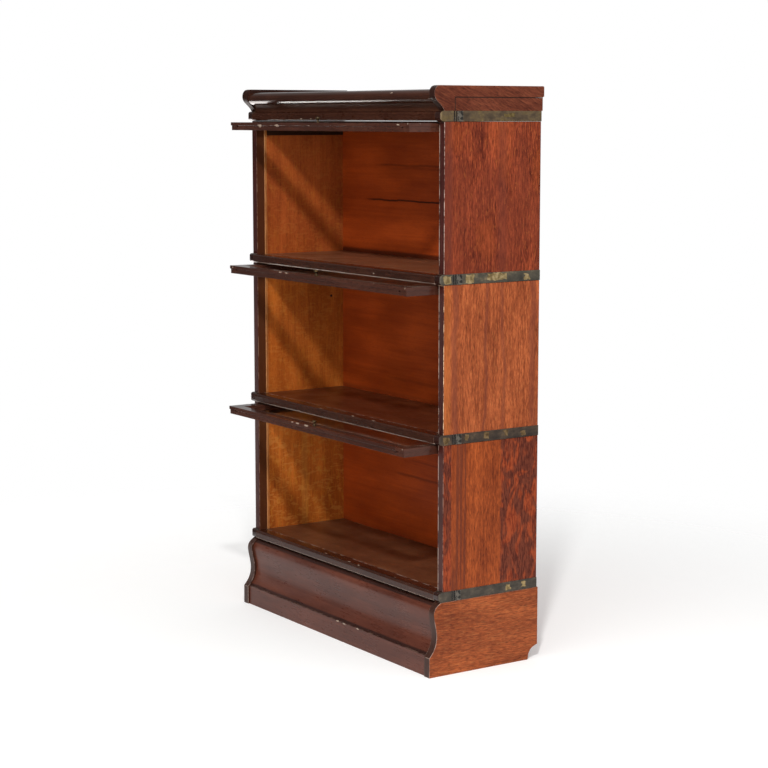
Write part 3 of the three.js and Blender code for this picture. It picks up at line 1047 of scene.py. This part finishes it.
def add_base():
    low, high = local_box("base_end_right")
    back = high.y
    outline = [
        (back, high.z),
        *smooth([
            (-142, high.z), (-152, 168), (-159.5, 159), (-161.8, 148), (-159.5, 132), (-155.5, 113),
            (-153.5, 96), (-155.5, 79), (-161, 65), (-168.5, 54), (low.y, 47),
        ], 60),
        (low.y, 0),
        *smooth([(113.6, 0), (115.5, 12), (121, 23), (130, 30), (back, 34.5)], 20),
    ]
    end = paint(soften(along_x(outline, low, high), 1.3, segments=3), outside_is_light)
    side = make_end_finish("base_end_oak", "base", "y", "884220", 5.5, 0.03, "a46438", 0.62)
    edge = dark_oak("base_edge_oak", "base", "z", 8.8, wear=0.9, worn="9a8478", polish=SATIN)
    add_pair("base_end", end, [side, edge])

    low, high = local_box("base_front_moulding")
    fillet = 49.5
    outline = [
        (high.y, high.z),
        *smooth([
            (-137, high.z), (-146.5, 169), (-154, 160), (-156.5, 149), (-154, 132), (-149.5, 113),
            (-147.5, 96), (-149.5, 80), (-155.5, 66), (-163.5, 54.5), (-167.5, fillet),
        ], 60),
        (low.y, fillet), (low.y, 0), (high.y, 0),
    ]
    chips = [(30, low.y, fillet - 1, 2.2), (60, low.y, fillet - 2, 1.8), (120, low.y, fillet - 1, 2)]
    # Darker bands along the moulding's top, just under the front rail, and just above the fillet.
    dark_bands = ((166, 175), (50, 54))
    finish = dark_oak(
        "base_moulding_oak", "base", "x", 12.1, "52281b", chips, dark_bands=dark_bands, polish=SHEEN, pores=0.12,
    )
    moulding = soften(along_x(outline, low, high), 0.8, sharpest=35)
    add_piece("base_front_moulding", moulding, [finish])

    add_board("base_back_rail", 1, make_back_finish("base_back_oak", "base", 14.2))


def add_cornice():
    low, high = local_box("cornice_end_right")
    shoulder = 24.3
    infill_front = -108
    infill_top = 54
    gap = 0.35
    top_back = high.y - 4
    front_curve = smooth([
        (-150.5, high.z), (-157, 78.5), (-161.7, 74), (-164.4, 68), (-165, 61.5), (-163.6, 54.5),
        (-160, 48.7), (-154, 43), (-147.5, 37), (-142, 31), (-138, shoulder),
    ], 60)
    outline = [
        (CASE_FRONT, low.z), (infill_front - gap, low.z), (infill_front - gap, infill_top + gap),
        (top_back, infill_top + gap), (top_back, 55), (high.y, 57),
        (high.y, high.z - 2), (high.y - 2, high.z),
        *front_curve,
        (CASE_FRONT, shoulder),
    ]
    seam = (infill_front - gap / 2, infill_top + gap / 2)
    side = make_end_finish("cornice_end_oak", "cornice", "y", "5a2a1a", 21.5, 0.42, "7c442a", 0.55, seam)
    edge = dark_oak("cornice_edge_oak", "cornice", "z", 23.3, "2c1610", wear=0.9, worn="9a8a80", polish=SATIN)
    shaded_edge = dark_oak("cornice_left_edge_oak", "cornice", "z", 24.1, "2c1610", wear=0.1, polish=MATT)
    end = paint(soften(along_x(outline, low, high), 1.3, segments=3), outside_is_light)
    add_pair("cornice_end", end, [side, edge], left_finishes=[side, shaded_edge])

    infill_outline = [
        (infill_front, low.z), (CASE_BACK, low.z), (CASE_BACK, shoulder),
        (top_back, shoulder), (top_back, infill_top), (infill_front, infill_top),
    ]
    infill = soften(along_x(infill_outline, low, high), 0.5)
    add_pair("cornice_end", infill, [side], extra="cornice_infill")

    low, high = local_box("cornice_bottom_board")
    section = rounded_nose(low.y, high.y, low.z, high.z, *NOSE_ROUNDING)
    board = soften(along_x(section, low, high), 0.6)
    chips = [(-165, -149, 6, 1.4), (-120, -149, 6, 1.2)]
    finish = dark_oak("cornice_board_oak", "cornice", "x", 31.7, chips=chips, polish=THIN_GLOSS)
    add_piece("cornice_bottom_board", board, [finish])

    low, high = local_box("cornice_front_moulding")
    roll_bottom = 41.5
    outline = [
        (high.y, low.z),
        (high.y, high.z),
        *smooth([
            (-145, high.z), (-153, 70), (-158.6, 65), (-161, 58.5), (-159.8, 51.5), (-155.8, 45.8),
            (-150, roll_bottom),
        ], 42),
        *smooth([(-146.5, roll_bottom + 1), (-142, 37.5), (-139.5, 31), (-138.6, low.z)], 20),
    ]
    roll = dark_oak("cornice_moulding_oak", "cornice", "x", 36.9, chips=[(250, -159, 66, 2)])
    cove = dark_oak("cornice_cove_oak", "cornice", "x", 39.2, "422519", wear=0.1, polish=MATT)
    cove_top = roll_bottom + 1.2

    def choose(normal, middle):
        """0 on the polished roll, 1 in the matt cove below it, where dust lies."""
        return 1 if middle.z < cove_top and middle.y > low.y + 12 else 0

    moulding = paint(soften(along_x(outline, low, high), 0.5, sharpest=60), choose)
    add_piece("cornice_front_moulding", moulding, [roll, cove])

    top_finish = make_end_finish("cornice_top_oak", "cornice", "x", "66301e", 45.5, 0, "8c5034")
    add_board("cornice_top_board", 0.8, top_finish)
    rail_finish = make_back_finish("cornice_back_oak", "cornice", 48.2)
    add_board("cornice_back_rail", 0.8, rail_finish)


# ---- Studio ----

CAMERA_PLACE = (3.9791, -2.6326, 1.2846)
CAMERA_TILT = 82.167
CAMERA_TURN = 56.216
CAMERA_LENS = 90.74
LAMP_PLACE = (2.283, -1.537, 2.670)
LAMP_RADIUS = 0.09
LAMP_POWER = 275
AMBIENT = 0.9
BRIGHT_SIDE = (0.35, -0.9, 0.2)         # most of the soft light comes from in front
DARK_SIDE = (-0.80, -0.60, -0.05)       # the unlit end of the studio, in front and to the left
REFLECTOR_PLACE = (-2.6, -0.1, 0.05)    # a pale sheet that lies to the left and catches light
REFLECTOR_SIZE = (1.6, 1)
REFLECTOR_POWER = 28
FLOOR_HALF = 4
FLOOR_SOLID = 0.7                       # the floor fades out between these two distances
FLOOR_GONE = 2.1
FLOOR_GLOW = 0.15


def add_light(name, kind, place, power):
    data = bpy.data.lights.new(name, kind)
    data.energy = power
    light = new_object(name, data)
    light.location = place
    return light


def add_camera():
    data = bpy.data.cameras.new("camera")
    data.lens = CAMERA_LENS
    data.sensor_width = 36
    camera = new_object("camera", data)
    camera.location = CAMERA_PLACE
    camera.rotation_euler = (math.radians(CAMERA_TILT), 0, math.radians(CAMERA_TURN))
    bpy.context.scene.camera = camera


def add_world():
    """A white background. Its light is strongest in front, and weak to the left of there."""
    world = bpy.data.worlds.new("studio")
    world.use_nodes = True
    nodes = Nodes(world.node_tree)
    direction = nodes.node("TexCoord").outputs["Generated"]
    strengths = []
    for way, low, high, first, second in (
        (BRIGHT_SIDE, -0.2, 1, AMBIENT * 0.55, AMBIENT * 1.5),
        (DARK_SIDE, 0.35, 0.9, 1, 0.12),
    ):
        inputs = {0: direction, 1: Vector(way).normalized()}
        facing = nodes.node("VectorMath", inputs, operation="DOT_PRODUCT").outputs["Value"]
        strengths.append(nodes.between(facing, low, high, first, second, kind="LINEAR"))
    seen = nodes.node("LightPath").outputs["Is Camera Ray"]
    level = nodes.node("Mix", {0: seen, 2: nodes.times(*strengths), 3: 1})
    background = nodes.tree.nodes["Background"]
    nodes.fill(background, {"Color": (1, 1, 1, 1), "Strength": level.outputs[0]})
    bpy.context.scene.world = world


def make_floor_finish():
    """Pale paper that fades into the white background a few steps away."""
    finish = Finish("pale_floor")
    place = finish.node("TexCoord").outputs["Object"]
    distance = finish.node("VectorMath", {0: place}, operation="LENGTH").outputs["Value"]
    finish.set(
        Base_Color=(0.9, 0.9, 0.89, 1),
        Roughness=0.9,
        Specular_IOR_Level=0.1,
        Emission_Color=(1, 1, 1, 1),
        Emission_Strength=FLOOR_GLOW,
        Alpha=finish.between(distance, FLOOR_SOLID, FLOOR_GONE, 1, 0),
    )
    return finish.material


def add_studio():
    add_camera()
    lamp = add_light("lamp", "POINT", LAMP_PLACE, LAMP_POWER)
    lamp.data.shadow_soft_size = LAMP_RADIUS
    reflector = add_light("reflector", "AREA", REFLECTOR_PLACE, REFLECTOR_POWER)
    reflector.data.shape = "RECTANGLE"
    reflector.data.size, reflector.data.size_y = REFLECTOR_SIZE
    reflector.data.color = (1, 0.94, 0.91)
    reflector.visible_camera = False
    towards = Vector((0, 0, 0.7)) - Vector(REFLECTOR_PLACE)
    reflector.rotation_euler = towards.to_track_quat("-Z", "Y").to_euler()
    add_world()

    floor_mesh = bpy.data.meshes.new("floor")
    corners = [(-1, -1), (1, -1), (1, 1), (-1, 1)]
    floor_mesh.from_pydata([(x * FLOOR_HALF, y * FLOOR_HALF, 0) for x, y in corners], [], [(0, 1, 2, 3)])
    floor_mesh.materials.append(make_floor_finish())
    floor = new_object("floor", floor_mesh)
    bpy.context.scene.view_settings.view_transform = "Standard"


# ---- The whole bookcase ----

add_studio()
add_base()
side_finishes = make_side_finishes()
inner_finishes = make_inner_finishes()
door_finishes = {
    "glass": make_glass(),
    "brass": make_metal("knob_brass", ("241c14", "46382a", "857048"), (0.3, 0.5), 4),
    "steel": make_metal("rod_steel", ("5a5854", "8a8884", "a8a6a2"), (0.3, 0.5), 9),
}
for number, section in enumerate(SECTIONS):
    add_section(section, side_finishes[section], inner_finishes[section], 20 * number)
    add_door(section, door_finishes, 20 * number)
add_cornice()
add_bands()
